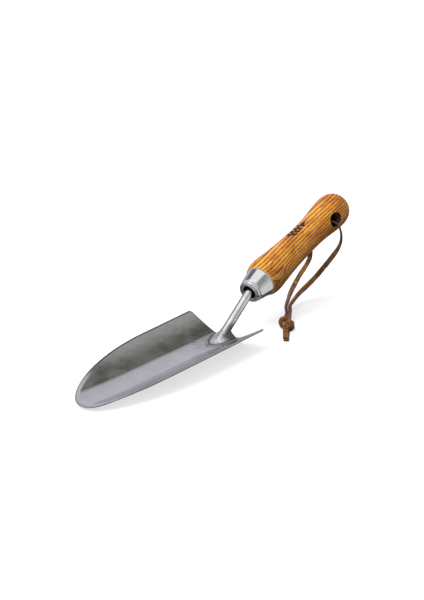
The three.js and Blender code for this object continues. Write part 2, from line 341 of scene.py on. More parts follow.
def steel_surface(graph, position, tone, roughness, mottle, bump, grain=(1, 1, 1)):
    """Worked stainless steel: fine rolling or polishing marks, cloudy tone and a soft waviness."""
    clouds = graph.noise(position, 55, 3, 0.55)
    marks = graph.noise(graph.stretched(position, grain), 2600, 2, 0.6)
    shade = graph.mix(graph.ramp(clouds, 0.35, 0.65), dimmed(tone, 1 - mottle), tone)
    shade = graph.mix(graph.ramp(marks, 0.3, 0.75, 0, 0.35), shade, dimmed(tone, 0.82))
    rough = graph.plus(graph.ramp(marks, 0.3, 0.7, roughness * 0.85, roughness * 1.15),
                       graph.ramp(clouds, 0.3, 0.7, -0.03, 0.03))
    relief = graph.plus(graph.times(marks, 0.12), graph.noise(position, 130, 1, 0.4))
    return shade, rough, graph.bump(relief, bump, 0.001)


def build_blade(graph, position):
    """Satin sheet, rolled lengthwise, with marks of welding, grinding and shearing."""
    tone = colour(205, 205, 212)
    shade, rough, normal = steel_surface(graph, position, tone, 0.13, 0.1, 0.05, grain=(0.03, 1, 1))
    # Streaks and heat tint spread from the weld in front of the foot.
    x, y, _ = graph.axes(position)
    x = graph.math("SUBTRACT", x, (REAR - 12) * MM)
    turn = graph.math("ARCTAN2", y, x)
    reach = graph.hypotenuse(x, y)
    fan = graph.add("ShaderNodeCombineXYZ", {0: graph.times(turn, 0.022), 1: graph.times(reach, 0.12)})
    rays = graph.ramp(graph.noise(fan, 900, 2, 0.7), 0.48, 0.66)
    near = graph.ramp(reach, 0.033, 0.018)
    shade = graph.mix(graph.times(rays, near, 0.6), shade, colour(96, 98, 104))
    shade = graph.mix(graph.ramp(reach, 0.031, 0.017, 0, 0.3), shade, colour(150, 152, 165))
    # The ground rim of the nose is paler and duller.
    ground = graph.attribute("ground")
    rough = graph.plus(rough, graph.times(ground, 0.14))
    shade = graph.mix(graph.times(ground, 0.3), shade, colour(222, 222, 228))
    # Painted shade: a dark line beside the sheared edges, and along the edge of the lower face, where the
    # edges turn from the light.
    rim = graph.attribute("rim")
    shade = graph.mix(graph.times(rim, 0.92), shade, colour(52, 52, 50))
    rough = graph.plus(rough, graph.times(rim, 0.2))
    return graph.surface(shade, rough, normal, {**METAL, "Anisotropic": 0.3})


def build_forging(graph, position):
    tone = colour(242, 242, 244)
    shade, rough, normal = steel_surface(graph, position, tone, 0.2, 0.16, 0.22, grain=(0.2, 1, 0.2))
    # Weld smear and grinding marks lie near the foot.
    x, y, height = graph.axes(position)
    low = graph.ramp(height, 0.016, 0.006)
    blotch = graph.ramp(graph.noise(position, 420, 3, 0.65, 0.6), 0.46, 0.66)
    shade = graph.mix(graph.times(low, blotch, 0.55), shade, colour(112, 108, 98))
    rough = graph.plus(rough, graph.times(low, 0.14))
    # Painted shade darkens the near rear corner in place of a dark reflection there, and a painted contact
    # shadow lies along the join with the blade.
    back = graph.times(graph.ramp(x, (REAR - 16) * MM, (REAR - 7) * MM), graph.ramp(y, -0.0005, -0.0045),
                       graph.ramp(height, 0.0165, 0.012))
    shade = graph.mix(graph.times(back, 0.92), shade, colour(74, 70, 62))
    shade = graph.mix(graph.times(graph.attribute("painted_contact_shadow"), 0.8), shade, colour(54, 52, 48))
    return graph.surface(shade, rough, normal, METAL)


def build_weld(graph, position):
    shade, rough, normal = steel_surface(graph, position, colour(172, 172, 174), 0.26, 0.35, 0.3)
    heat_tint = graph.ramp(graph.noise(position, 300, 2, 0.5), 0.5, 0.7, 0, 0.4)
    shade = graph.mix(heat_tint, shade, colour(108, 122, 126))
    return graph.surface(shade, rough, normal, METAL)


def build_polished(graph, position):
    """Steel polished on the lathe, so that its marks run round the ferrule."""
    position = handle_frame(graph, position)
    tone = colour(232, 233, 236)
    shade, rough, normal = steel_surface(graph, position, tone, 0.09, 0.05, 0.03, grain=(1, 0.05, 0.05))
    return graph.surface(shade, rough, normal, METAL)


RING_SPACING = 0.0026


def build_ash(graph, position):
    """Varnished ash: growth rings cut by the turned surface, open pores, a small knot by the ferrule."""
    position = handle_frame(graph, position)
    along, y, z = graph.axes(position)
    # A knot pushes the rings aside near the ferrule, low on the near side.
    knot_x = graph.times(graph.math("SUBTRACT", along, 0.028), 0.6)
    knot_z = graph.math("SUBTRACT", z, -0.002)
    knot = graph.times(graph.ramp(graph.hypotenuse(knot_x, knot_z), 0.0125, 0.001),
                       graph.ramp(y, 0.002, -0.006))
    # The pith lies below the near side, so the rings meet the near face square on as straight lines.
    wander = graph.noise(graph.stretched(position, (0.07, 1, 1)), 70, 2, 0.5)
    radius = graph.hypotenuse(graph.plus(y, 0.037), graph.plus(z, 0.041))
    radius = graph.plus(radius, graph.times(wander, 0.0014))
    radius = graph.plus(radius, graph.times(knot, 0.0062))
    ring = graph.math("FRACT", graph.times(radius, 1 / RING_SPACING))
    # Open pores, drawn out into dashes, fill the early wood of each ring.
    early = graph.times(graph.ramp(ring, 0.0, 0.08), graph.ramp(ring, 0.45, 0.18))
    pores = graph.noise(graph.stretched(position, (0.1, 1, 1)), 1900, 2, 0.65)
    dashes = graph.times(graph.ramp(pores, 0.45, 0.51), graph.ramp(early, 0.15, 0.5))
    fibres = graph.noise(graph.stretched(position, (0.045, 1, 1), (0.3, 0, 0)), 3000, 2, 0.6)
    fine = graph.ramp(fibres, 0.54, 0.66, 0, 0.34)
    broad = graph.noise(graph.stretched(position, (0.25, 1, 1)), 150, 3, 0.6)
    wood = graph.mix(graph.ramp(broad, 0.34, 0.66), colour(186, 108, 20), colour(238, 166, 58))
    wood = graph.mix(graph.times(early, 0.55), wood, colour(138, 68, 12))
    wood = graph.mix(fine, wood, colour(126, 64, 15))
    wood = graph.mix(graph.times(dashes, 0.92), wood, colour(60, 24, 7))
    red = graph.ramp(graph.noise(graph.stretched(position, (0.4, 1, 1)), 420, 3, 0.7, 1.2), 0.4, 0.62)
    wood = graph.mix(graph.times(knot, graph.ramp(red, 0, 1, 0.3, 0.95)), wood, colour(86, 32, 10))
    # The varnish is rubbed off along the ferrule's mouth.
    cream = graph.ramp(along, (FERRULE_LENGTH + 1.3) * MM, (FERRULE_LENGTH + 0.4) * MM, 0, 0.55)
    wood = graph.mix(cream, wood, colour(236, 208, 158))
    # Painted shade with bare unvarnished wood: the drilled hole and the tenon inside the ferrule are dark.
    wood = graph.mix(graph.attribute("bare_wood_and_shade"), wood, colour(30, 14, 10))
    hollow = graph.times(graph.math("MAXIMUM", dashes, graph.times(fine, 0.6)), -1)
    relief = graph.plus(hollow, graph.times(broad, 0.3))
    rough = graph.plus(graph.ramp(broad, 0.3, 0.7, 0.34, 0.44), graph.times(dashes, 0.22))
    return graph.surface(wood, rough, graph.bump(relief, 0.45, 0.00025), {
        "Specular IOR Level": 0.3, "Coat Weight": 0.09, "Coat Roughness": 0.2,
    })


def build_burnt(graph, position):
    char = graph.noise(position, 1400, 3, 0.7)
    shade = graph.mix(graph.ramp(char, 0.35, 0.7), colour(18, 9, 6), colour(50, 25, 14))
    return graph.surface(shade, graph.ramp(char, 0.3, 0.7, 0.55, 0.75), graph.bump(char, 0.5, 0.0002), {})


def build_resin(graph, position):
    cloud = graph.noise(position, 700, 3, 0.6)
    shade = graph.mix(cloud, colour(92, 74, 44), colour(132, 112, 74))
    return graph.surface(shade, graph.ramp(cloud, 0.3, 0.7, 0.35, 0.6), graph.bump(cloud, 0.3, 0.0003), {})


def build_leather(graph, position):
    """Waxed leather lace: pebbled grain on the faces, darker dyed cut edges, pale rubbed patches."""
    pebble = graph.add("ShaderNodeTexVoronoi", {"Vector": position, "Scale": 2300.0})
    patches = graph.noise(position, 190, 3, 0.6)
    fibres = graph.noise(position, 3800, 2, 0.7)
    hide = graph.mix(graph.ramp(patches, 0.35, 0.68), colour(100, 63, 31), colour(152, 106, 58))
    hide = graph.mix(graph.ramp(fibres, 0.4, 0.7, 0, 0.4), hide, colour(82, 50, 26))
    hide = graph.mix(graph.ramp(pebble, 0.0, 0.5, 0.25, 0.0), hide, colour(58, 36, 20))
    hide = graph.mix(graph.ramp(graph.attribute("edge"), 0.25, 1.0, 0, 0.5), hide, colour(48, 30, 18))
    relief = graph.plus(pebble, graph.times(fibres, 0.7))
    return graph.surface(hide, graph.ramp(patches, 0.3, 0.7, 0.72, 0.58), graph.bump(relief, 0.45, 0.0002), {
        "Specular IOR Level": 0.3, "Sheen Weight": 0.05, "Sheen Roughness": 0.5,
    })


def build_floor(graph, position):
    cloud = graph.noise(position, 6, 2, 0.5)
    return graph.add("ShaderNodeBsdfPrincipled", {
        "Base Color": graph.mix(cloud, colour(186, 186, 186), colour(190, 190, 190)),
        "Roughness": 0.75, "Specular IOR Level": 0.2,
        "Emission Color": (1, 1, 1, 1), "Emission Strength": 0.6,
    })


blade_steel = material("satin_stainless", build_blade)
forged_steel = material("forged_stainless", build_forging)
weld_steel = material("weld_metal", build_weld)
polished_steel = material("polished_ferrule", build_polished)
ash = material("varnished_ash", build_ash)
burnt = material("burnt_wood", build_burnt)
resin = material("hardened_resin", build_resin)
leather = material("lace_leather", build_leather)

# ---- camera


def make_camera():
    data = bpy.data.cameras.new("camera")
    data.lens = CAMERA_LENS
    camera = bpy.data.objects.new("camera", data)
    camera.location = CAMERA_PLACE
    camera.rotation_euler = [math.radians(a) for a in CAMERA_TURN]
    bpy.context.scene.collection.objects.link(camera)
    bpy.context.scene.camera = camera


make_camera()

# ---- lace

# The lace's route, as in the CAD model. It leaves the cross hole at both mouths, comes down and
# runs along the ground to the knot.
KNOT = np.array([136.3, -30, 0.0])
LACE_HEADING = unit(np.array([-0.85, -0.527, 0]))
LACE_SIDE = unit(np.array([0.527, -0.85, 0]))
KNOT_HALF_HEIGHT = 5.4


def from_hole(sideways, x, z):
    return station(HOLE_STATION) + np.array([x, -sideways, z])


def beside(along, side, height):
    return KNOT + along * LACE_HEADING + side * LACE_SIDE + height * Z


NEAR_STRAND = [
    from_hole(0.2, 0, 0), from_hole(6, 0, 0), from_hole(12, 0, 0), from_hole(16, 0.1, -1.1),
    from_hole(18.9, 0.5, -4), from_hole(20, 1.2, -8), (244.8, -20.2, 61.5), (244.8, -19.9, 55.2),
    (242.4, -18.4, 48.7), (237.7, -13.8, 39.4), (231.8, -8.6, 30), (225.2, -4, 21.6), (216, -0.3, 14.6),
    (206, 1.5, 9.8), (195, 0.8, 6), (183, -2.9, 4.4), beside(-40, 1.6, 4.3), beside(-25, 1.5, 4.9),
    beside(-12, 1.5, 5.8), beside(-5, 1.5, 6.4),
]
FAR_STRAND = [
    from_hole(-0.2, 0, 0), from_hole(-6, 0, 0), from_hole(-12, 0, -0.1), from_hole(-16, 0.2, -1.4),
    from_hole(-19, 0.9, -4.8), from_hole(-20.3, 2.1, -9.5), (247.6, 20.6, 56), (251, 20.6, 46),
    (254.9, 21.4, 35.5), (257.6, 24, 27.6), (255, 26.8, 20), (244, 26.2, 14), (228.4, 21.7, 9.8),
    (212.5, 16, 6.6), (197, 9, 4.2), (183.6, 2.2, 2.6), beside(-40, -1.6, 2.3), beside(-25, -1.5, 2.2),
    beside(-12, -1.5, 2.8), beside(-5, -1.6, 4),
]
NEAR_TAIL = [beside(4, 0.9, 2.6), beside(9, 0.8, 1.2), beside(17, 0.8, 0.85), beside(29, 0.9, 0.85)]
FAR_TAIL = [beside(4, -0.9, 4.6), beside(9, -0.5, 3.2), beside(17, -0.2, 2.75), beside(28, 0.4, 2.75)]

# The flat faces turn towards this direction where a strand's turn is 0, and edge on to it at 90.
LACE_FACE = unit(np.array([-0.826, -0.496, 0.268]))
# Turn in degrees at stations counted in route points.
NEAR_TURN = {0: 84, 5: 84, 6: 80, 7.5: 62, 9: 14, 11: 4, 12.5: 30, 14: 62, 16: 50, 17.5: 25, 19: 18}
FAR_TURN = {0: 70, 5: 60, 8: 10, 10: 30, 11.5: 20, 12.5: 14, 14: 52, 16: 60, 17.5: 30, 19: 18}


def strip(path, across, width, thickness, seed, cut_end=False):
    """A flat lace along a path: rounded rectangle section, hand cut edges that wander a little.

    The third result tells faces, 0, from cut edges, 1, point by point.
    """
    forward = tangents(path)
    across = unit(across - forward * np.sum(across * forward, axis=1, keepdims=True))
    out = np.cross(forward, across)
    r = LACE_CORNER
    w, t = width / 2, thickness / 2
    # Half of the section: a face, the arc that rounds its corner, and the cut edge down to the next arc.
    section, edge = [], []
    for k in range(8):
        section.append((-w + r + (2 * w - 2 * r) * k / 7, t))
        edge.append(abs(2 * k / 7 - 1) ** 8 * 0.5)
    for k in range(1, 5):
        a = math.pi / 2 * (1 - k / 5)
        section.append((w - r + r * math.cos(a), t - r + r * math.sin(a)))
        edge.append(0.5 + 0.5 * k / 5)
    section.append((w, -t + r))
    edge.append(1.0)
    section = np.array(section + [(-a, -b) for a, b in section])
    random = np.random.default_rng(seed)
    count, around = len(path), len(section)
    wave = np.zeros(count)
    place = np.linspace(0, length_of(path), count)
    for period in (23.0, 11.0, 5.3):
        wave += random.uniform(0.3, 1) * np.sin(2 * math.pi * place / period + random.uniform(0, 6.28))
    swell = 1 + 0.022 * wave
    dome = 1 + 0.05 * np.roll(wave, 7)
    points = (path[:, None, :]
              + across[:, None, :] * (section[None, :, 0:1] * swell[:, None, None])
              + out[:, None, :] * (section[None, :, 1:2] * dome[:, None, None])).reshape(-1, 3)
    edges = np.tile(edge + edge, count)
    if cut_end:
        edges[-around:] = 1.0
    return points, grid_faces(count, around, wrap_columns=True) + end_caps(count, around), edges


def set_attribute(piece, name, values):
    attribute = piece.data.attributes.new(name, "FLOAT", "POINT")
    attribute.data.foreach_set("value", np.asarray(values, np.float32))


def width_along(path, keys, share):
    """The lace's width direction along a path, from turn keys given at route points."""
    forward = tangents(path)
    facing = unit(np.cross(LACE_FACE, forward))
    edge_on = np.cross(forward, facing)
    at = np.linspace(0, 1, len(path))
    angle = np.radians(np.interp(at, [share(k) for k in keys], list(keys.values())))
    kernel = np.hanning(9) / np.hanning(9).sum()
    angle = np.convolve(np.pad(angle, 4, mode="edge"), kernel, mode="valid")
    return facing * np.cos(angle)[:, None] + edge_on * np.sin(angle)[:, None]


def share_of(route, per_span=14):
    """A function from a count of route points to its share of the route's length."""
    along = run_along(catmull_rom(route, per_span))
    return lambda k: float(np.interp(k * per_span, range(len(along)), along) / along[-1])


def lace_mesh(name, points, faces, edges, node):
    piece = make_piece(name, points, faces, leather, "lace", [node], sharp=50)
    set_attribute(piece, "edge", edges)
    return piece


def lace_piece(name, route, keys, seed, node, cut_end=False):
    """A strand turned by its keys, or a tail (no keys) that lies flat on the ground."""
    path = spaced(catmull_rom(route), 0.9)
    across = width_along(path, keys, share_of(route)) if keys else np.tile(LACE_SIDE, (len(path), 1))
    points, faces, edges = strip(path, across, LACE_WIDTH, LACE_THICKNESS, seed, cut_end)
    return lace_mesh(name, points, faces, edges, node), path


near_lace, near_path = lace_piece("near_strand", NEAR_STRAND, NEAR_TURN, 3, "lace_near_strand")
far_lace, far_path = lace_piece("far_strand", FAR_STRAND, FAR_TURN, 5, "lace_far_strand")
near_end, _ = lace_piece("near_tail", NEAR_TAIL, None, 7, "lace_near_tail", True)
far_end, _ = lace_piece("far_tail", FAR_TAIL, None, 9, "lace_far_tail", True)

# A loose overhand knot, in halves of the pair's thickness: forward, sideways, up.
LOOSE_KNOT = [
    (-9, 0, 0), (-5, 0, 0), (-2, 0, -0.7), (0, 0, 0), (2, 0, 0.7), (5, 0.7, 0.3), (6.3, 3, 0),
    (4.6, 5.6, -0.7), (1.5, 6.2, 0), (-1.6, 4.2, 0.3), (-2.3, 1.5, 0.7), (-2, 0, 0.8), (-1.2, -2.2, 0.4),
    (0.6, -2.6, -0.3), (2, -0.6, -0.8), (2.8, 2, -0.4), (3.8, 4.4, 0.3), (5.2, 6.6, 0.8), (7, 8.5, 0.4),
    (9.5, 10, 0),
]
PAIR_THICKNESS = 3.5
# In the knot the pair is pressed together: its width, each lace's place from the middle, and how far
# the tied stretch goes before and behind the knot's middle.
KNOT_WIDTH = 4.0
KNOT_STACK = 0.76
KNOT_REACH = 10.5


def pull_tight(points=110, steps=420):
    """Pulls the loose knot's ends apart until the pair of laces lies against itself."""
    loose = np.array(LOOSE_KNOT, float) * PAIR_THICKNESS / 2 * (1, 1, 1.6)
    line = catmull_rom(loose)
    step = length_of(line) / (points - 1)
    line = spaced(line, step)
    count = len(line)
    first, second = np.triu_indices(count, k=math.ceil(1.45 * PAIR_THICKNESS / step))
    for turn in range(steps):
        pull = 0.03 * (1 - turn / steps)
        line[:2, 0] -= pull
        line[-2:, 0] += pull
        line[-1, 1] *= 0.985
        line[-2, 1] += 0.5 * (line[-1, 1] - line[-2, 1])
        for _ in range(6):
            gap = np.diff(line, axis=0)
            length = np.linalg.norm(gap, axis=1, keepdims=True)
            pull_in = gap * (1 - step / length) * 0.5
            line[1:-1] += pull_in[1:]
            line[1:-1] -= pull_in[:-1]
            apart = line[second] - line[first]
            distance = np.linalg.norm(apart, axis=1)
            close = distance < PAIR_THICKNESS
            distance = distance[close, None]
            push = apart[close] / distance * (PAIR_THICKNESS - distance) * 0.25
            np.add.at(line, second[close], push)
            np.add.at(line, first[close], -push)
            line[1:-1] += 0.06 * (line[:-2] + line[2:] - 2 * line[1:-1])
    return line


def laid_flat(path, start, end):
    """The direction of a flat lace's thickness along a path, from start to end: it bends over its face."""
    forward = tangents(path)
    bend = np.gradient(forward, axis=0)
    out = [unit(start - forward[0] * start.dot(forward[0]))]
    for k in range(1, len(path)):
        out.append(unit(out[-1] - forward[k] * out[-1].dot(forward[k])))
    out = np.array(out)
    goal = unit(end - forward[-1] * end.dot(forward[-1]))
    if goal.dot(out[-1]) < 0:
        goal = -goal
    for _ in range(500):
        out[-1] = goal
        toward = np.sign(np.sum(bend * out, axis=1, keepdims=True)) * bend
        out[1:-1] += 0.5 * (out[:-2] + out[2:] - 2 * out[1:-1]) + 1.1 * toward[1:-1]
        out = unit(out - forward * np.sum(out * forward, axis=1, keepdims=True))
    return out


def make_knot():
    """The overhand knot that ties both strands: the pair lies face to face all through it."""
    line = pull_tight()
    # Its middle is that of the crossings, without the ends that stick out.
    tied = line[30:-30]
    line = line - (tied.min(0) + tied.max(0)) / 2
    line = line[np.abs(line[:, 0]) < KNOT_REACH]
    world = (line[:, 0:1] * LACE_HEADING + line[:, 1:2] * LACE_SIDE + line[:, 2:3] * Z
             + np.array([KNOT[0], KNOT[1], KNOT_HALF_HEIGHT]))
    world = spaced(catmull_rom(world[::3]), 0.5)
    stack_in = unit(np.array(NEAR_STRAND[-1]) - np.array(FAR_STRAND[-1]))
    stack_out = unit(np.array(NEAR_TAIL[0]) - np.array(FAR_TAIL[0]))
    stack = laid_flat(world, stack_in, stack_out)
    across = np.cross(stack, tangents(world))
    shapes, edges = [], []
    for sign, seed in ((1, 21), (-1, 22)):
        path = world + stack * (sign * KNOT_STACK)
        *shape, edge = strip(path, across, KNOT_WIDTH, LACE_THICKNESS, seed)
        shapes.append(shape)
        edges.append(edge)
    points, faces = joined(shapes)
    points[:, 2] = np.maximum(points[:, 2], 0.05)
    return lace_mesh("overhand_knot", points, faces, np.concatenate(edges), "lace_knot")


knot = make_knot()

# ---- blade


def trough_height(y, offset):
    """Height of the sheet at a distance y from the middle, offset along its normal from the lower face."""
    out = np.maximum(0, np.abs(y) - KEEL_FLAT)
    radius = WALL_BEND - offset
    bend = radius * math.sin(WALL_ANGLE)
    arc = np.minimum(out, bend)
    straight = out - arc
    wall = max(1.0, HALF_WIDTH - KEEL_FLAT - bend)
    bow = WALL_BOW * np.sin(math.pi * np.clip(straight / wall, 0, 1)) * (straight > 0)
    return WALL_BEND - np.sqrt(radius ** 2 - arc ** 2) + straight * math.tan(WALL_ANGLE) - bow


def nose_lift(x):
    near = np.maximum(0, 1 - (x - TIP) / NOSE_LIFT_LENGTH)
    return NOSE_LIFT * near * near


def half_outline():
    """One side of the blade's plan, from the rear edge round the corner and the side to the tip."""
    side = HALF_WIDTH
    points = []
    for depth in (0, 0.03, 0.1, 0.24, 0.45, 0.8, 1.3, 1.9, 2.5, 3.0):
        angle = math.acos(min(1.0, 1 - depth / CORNER))
        points.append((REAR - CORNER + CORNER * math.cos(angle), side - CORNER + CORNER * math.sin(angle)))
    straight_end = TIP + NOSE_LENGTH
    for x in np.linspace(REAR - CORNER, straight_end, 30)[1:]:
        points.append((x, side - NARROWING * (1 - (x - TIP) / (REAR - TIP))))
    # The nose is a half superellipse.
    for angle in np.linspace(math.pi / 2, 0, 90)[1:]:
        u = NOSE_LENGTH * (1 - math.cos(angle) ** (2 / NOSE_FULLNESS))
        width = side - NARROWING * (1 - u / (REAR - TIP))
        points.append((TIP + u, math.sin(angle) ** (2 / NOSE_FULLNESS) * width))
    return np.array(points)


def distance_to(points, line):
    """Each point's distance to a polyline."""
    best = np.full(len(points), np.inf)
    for a, b in zip(line[:-1], line[1:]):
        span = b - a
        t = np.clip(((points - a) @ span) / max(span @ span, 1e-9), 0, 1)
        best = np.minimum(best, np.linalg.norm(points - (a + t[:, None] * span), axis=1))
    return best


# Cut edges are rounded over EDGE_ROUND, and keep the share EDGE_THIN of the sheet at the very edge.
EDGE_ROUND = 0.42
EDGE_THIN = 0.12
# The ground rim of the nose, and the painted shade line beside the edges.
GROUND_WIDTH = 3.2
GROUND_DROP = 0.8
RIM_SHADE_REACH = 1.5
# The mesh runs inwards from the rim to a spine, which stops this far behind the tip.
SPINE_SHORT = 34.0


def inward_rows(rim):
    """Rows of plan points from the rim inwards to the spine: close beside the rim, then even."""
    spine_x = REAR - (REAR - rim[:, 0]) * (REAR - TIP - SPINE_SHORT) / (REAR - TIP)
    inward = np.stack([spine_x, np.zeros(len(rim))], 1) - rim
    reach = np.linalg.norm(inward, axis=1)
    inward = inward / reach[:, None]
    normal = np.gradient(rim, axis=0)
    normal = unit(np.stack([normal[:, 1], -normal[:, 0]], 1))
    facing = np.clip(np.abs(np.sum(normal * inward, axis=1)), 0.55, 1)
    depths = [0, 0.03, 0.1, 0.24, 0.42, 0.7, 1.0, 1.7, 2.6, 3.3, 3.55, 3.7, 4.2, 5.4, 7.0]
    rows = [np.minimum(d / facing, reach * 0.9) for d in depths]
    last, inner = rows[-1], 30
    for k in range(1, inner + 1):
        rows.append(last + (reach - last) * k / inner)
    return [rim + inward * row[:, None] for row in rows]


def make_blade():
    """The sheet: an upper and a lower face on the same plan points, closed along rim and rear edge."""
    half = half_outline()
    rim = np.vstack([half, half[-2::-1] * (1, -1)])
    rows = inward_rows(rim)
    flat = np.vstack(rows)
    depth = distance_to(flat, np.vstack([rim, rim[:1]]))
    depth = np.where(depth < 1e-6, 0, depth)
    rim_depth = distance_to(flat, rim)
    x, y = flat[:, 0], flat[:, 1]
    top = trough_height(y, SHEET) + nose_lift(x)
    bottom = trough_height(y, 0) + nose_lift(x)
    # The rim of the nose is ground thin from above; the grinding fades out along the sides.
    nose_share = smoothstep(TIP + 46, TIP + 14, x)
    top = top - GROUND_DROP * nose_share * np.clip(1 - rim_depth / GROUND_WIDTH, 0, 1)
    round_off = np.sqrt(np.clip(1 - (1 - np.clip(depth / EDGE_ROUND, 0, 1)) ** 2, 0, 1))
    half_gap = (top - bottom) / 2 * (EDGE_THIN + (1 - EDGE_THIN) * round_off)
    centre = (top + bottom) / 2
    upper = np.stack([x, y, centre + half_gap], 1)
    lower = np.stack([x, y, np.maximum(centre - half_gap, 0.0)], 1)
    n_rows, count = len(rows), len(rim)
    size = n_rows * count
    faces = grid_faces(n_rows, count)
    faces += flipped(faces, size)
    # Close the rim, then the rear edge on both sides of the middle.
    faces += [(k + 1, k, size + k, size + k + 1) for k in range(count - 1)]
    for r in range(n_rows - 1):
        a, b = r * count, (r + 1) * count
        faces.append((a, b, size + b, size + a))
        c, d = a + count - 1, b + count - 1
        faces.append((d, c, size + c, size + d))
    points = np.vstack([upper, lower])
    piece = make_piece("blade_sheet", points, faces, blade_steel, "tool", ["blade"], sharp=60)
    ground = nose_share * (rim_depth < GROUND_WIDTH)
    set_attribute(piece, "ground", np.concatenate([ground, np.zeros(size)]))
    # Painted shade: a dark line on the upper face beside the edge, and along the edge of the lower face.
    edge = smoothstep(RIM_SHADE_REACH, 0.6 * RIM_SHADE_REACH, depth) * smoothstep(0.03, 0.24, depth)
    under = 0.8 * smoothstep(1.2, 0.6, depth)
    set_attribute(piece, "rim", np.concatenate([edge * (1 - 0.7 * nose_share), under]))
    weld(piece, 1e-6)
    finish_mesh(piece.data, 60)


make_blade()

# ---- neck, weld and ferrule

# Height above the trough, reach forward of the blade's rear edge, half width.
FOOT_RINGS = np.array([
    (-0.6, 25.3, 12), (0, 25, 11.8), (0.9, 21.6, 10.9), (1.9, 18.4, 9.9), (3.1, 15.2, 8.6),
    (4.6, 12, 7.1), (6.3, 8.9, 5.8), (8.1, 6.1, 4.7), (9.8, 3.4, 3.7), (11.2, 1.6, 2.6),
])
FOOT_POINT = 1.3
TANG_END = 92
WELD_CLEAR = 0.7
WELD_HALF_WIDTH = 1.35
WELD_HALF_HEIGHT = 0.42


def fanned(share):
    """Draws the foot's plan in from an ellipse towards a fan."""
    return np.sign(share) * np.abs(share) ** FOOT_POINT


def tube(path, radius, segments):
    """A round bar along a path in the middle plane, closed at both ends."""
    across = np.cross(tangents(path), Y)
    angle = np.linspace(0, 2 * math.pi, segments, endpoint=False)
    points = path[:, None, :] + radius * (Y * np.cos(angle)[None, :, None]
                                          + across[:, None, :] * np.sin(angle)[None, :, None])
    faces = grid_faces(len(path), segments, wrap_columns=True)
    return points.reshape(-1, 3), faces + flipped(end_caps(len(path), segments), 0)


def neck_path():
    bend_start = handle_start - neck_axis * NECK_BEND * 0.25
    corner = handle_start + neck_axis * NECK_BEND * 0.05
    bend_end = station(NECK_BEND * 0.35)
    t = np.linspace(0, 1, 16)[:, None]
    bend = (1 - t) ** 2 * bend_start + 2 * t * (1 - t) * corner + t ** 2 * bend_end
    first = neck_start - neck_axis * 2
    return spaced(np.vstack([first, bend, station(TANG_END)]), 1.0)


def foot_shape():
    """Half a bell that fans out over the trough, with a flat rear face above the blade's rear edge."""
    heights = np.concatenate([np.linspace(-0.6, 1, 6), np.linspace(1.4, 11.2, 30)])
    reach = np.interp(heights, FOOT_RINGS[:, 0], FOOT_RINGS[:, 1])
    width = np.interp(heights, FOOT_RINGS[:, 0], FOOT_RINGS[:, 2])
    angle = np.linspace(-math.pi / 2, math.pi / 2, 61)
    points = []
    for h, r, w in zip(heights, reach, width):
        y = w * fanned(np.sin(angle))
        x = REAR - r * fanned(np.cos(angle))
        drop = 1 - max(0.0, h) / heights[-1]
        points.append(np.stack([x, y, h + SHEET + trough_height(y, 0) * drop], 1))
    points = np.array(points)
    rows, columns = points.shape[:2]
    faces = grid_faces(rows, columns) + flipped(end_caps(rows, columns), 0)
    for r in range(rows - 1):
        a, b = r * columns, (r + 1) * columns
        faces.append((a, b, b + columns - 1, a + columns - 1))
    return points.reshape(-1, 3), faces


def make_neck():
    """Rod and foot are one forging: they are fused by a fine remesh, and the join is smoothed."""
    points, faces = joined([tube(neck_path(), ROD_RADIUS, 64), foot_shape()])
    piece = make_piece("neck_forging", points, faces, forged_steel, "tool", ["neck"], sharp=60)
    weld(piece)
    remesh = piece.modifiers.new("fuse", "REMESH")
    remesh.mode = "VOXEL"
    remesh.voxel_size = 0.45 * MM
    smooth = piece.modifiers.new("soften", "CORRECTIVE_SMOOTH")
    smooth.factor = 0.6
    smooth.iterations = 7
    smooth.use_only_smooth = True
    apply_modifiers(piece)
    mesh = piece.data
    co = np.array([v.co for v in mesh.vertices]) / MM
    floor = SHEET - 0.5 + trough_height(co[:, 1], 0)
    under = (co[:, 0] < REAR + 0.5) & (co[:, 2] < floor)
    co[under, 2] = floor[under]
    mesh.vertices.foreach_set("co", (co * MM).astype(np.float32).ravel())
    # Painted contact shadow: the forging is darkened where it comes down close to the blade.
    above = co[:, 2] - trough_height(co[:, 1], SHEET)
    set_attribute(piece, "painted_contact_shadow", smoothstep(1.3, 0.5, above) * (co[:, 0] < REAR + 0.5))
    finish_mesh(mesh, 60)


def apply_modifiers(piece):
    bpy.context.view_layer.update()
    graph = bpy.context.evaluated_depsgraph_get()
    mesh = bpy.data.meshes.new_from_object(piece.evaluated_get(graph))
    piece.modifiers.clear()
    old = piece.data
    piece.data = mesh
    bpy.data.meshes.remove(old)
    mesh.name = piece.name


make_neck()


def make_weld():
    """A ground-down bead round the foot: low, rippled, and spread a little on to the blade."""
    angle = np.radians(np.linspace(-87, 87, 150))
    _, reach, half_width = FOOT_RINGS[1]
    y = fanned(np.sin(angle)) * (half_width + WELD_CLEAR)
    x = REAR - fanned(np.cos(angle)) * (reach + WELD_CLEAR)
    path = spaced(np.stack([x, y, trough_height(y, SHEET) + 0.12], 1), 0.4)
    y = path[:, 1]
    up = unit(np.stack([np.zeros_like(y), -np.gradient(trough_height(y, 0), y), np.ones_like(y)], 1))
    across = unit(np.cross(tangents(path), up))
    place = np.linspace(0, length_of(path), len(path))
    random = np.random.default_rng(11)
    ripple = 1 + 0.05 * np.sin(2 * math.pi * place / 2.6)
    ripple = ripple + 0.14 * np.sin(place / 3.7 + random.uniform(0, 6))
    segments = 14
    turn = np.linspace(0, 2 * math.pi, segments, endpoint=False)
    width = WELD_HALF_WIDTH * ripple[:, None] * np.cos(turn)
    height = WELD_HALF_HEIGHT * ripple[:, None] * np.sin(turn)
    points = path[:, None, :] + across[:, None, :] * width[..., None] + up[:, None, :] * height[..., None]
    faces = grid_faces(len(path), segments, wrap_columns=True) + end_caps(len(path), segments)
    make_piece("weld_bead", points.reshape(-1, 3), faces, weld_steel, "tool", ["foot_weld"],
               sharp=60)


make_weld()


